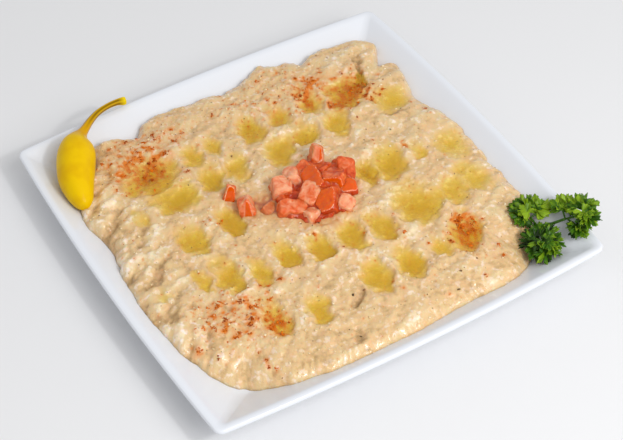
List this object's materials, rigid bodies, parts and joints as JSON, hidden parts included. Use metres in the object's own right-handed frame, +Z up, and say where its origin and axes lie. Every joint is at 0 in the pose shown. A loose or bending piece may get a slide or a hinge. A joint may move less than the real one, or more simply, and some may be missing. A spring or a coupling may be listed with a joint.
{
  "type": "plate of baba ganoush",
  "caption": "Square white plate of baba ganoush with finger marks for oil, diced tomato in the middle, a pickled pepper and a parsley sprig.",
  "frame": {"origin": "middle of the plate's underside, on the surface it stands on", "axes": "X and Y along the plate's sides, with the pepper in the -X +Y corner and the parsley in the +X -Y corner; +Z up"},
  "size_m": [0.2647, 0.2554, 0.0378],
  "materials": {
    "porcelain": "white glazed porcelain, smooth and glossy",
    "dip": "creamy beige aubergine and sesame dip, damp and lumpy",
    "pickle": "wet waxy yellow pepper skin",
    "tomato": "wet cut tomato, red skin and paler flesh",
    "herb": "fresh green leaf with a soft sheen"
  },
  "bodies": {
    "root": {"plate": "porcelain", "baba_ganoush": "dip", "pickled_pepper": "pickle", "parsley_sprig": "herb", "tomato_dice_01": "tomato", "tomato_dice_02": "tomato", "tomato_dice_03": "tomato", "tomato_dice_04": "tomato", "tomato_dice_05": "tomato", "tomato_dice_06": "tomato", "tomato_dice_07": "tomato", "tomato_dice_08": "tomato", "tomato_dice_09": "tomato", "tomato_dice_10": "tomato", "tomato_dice_11": "tomato", "tomato_dice_12": "tomato", "tomato_dice_13": "tomato", "tomato_dice_14": "tomato", "tomato_dice_15": "tomato", "tomato_dice_16": "tomato", "tomato_dice_17": "tomato"}
  },
  "joints": []
}
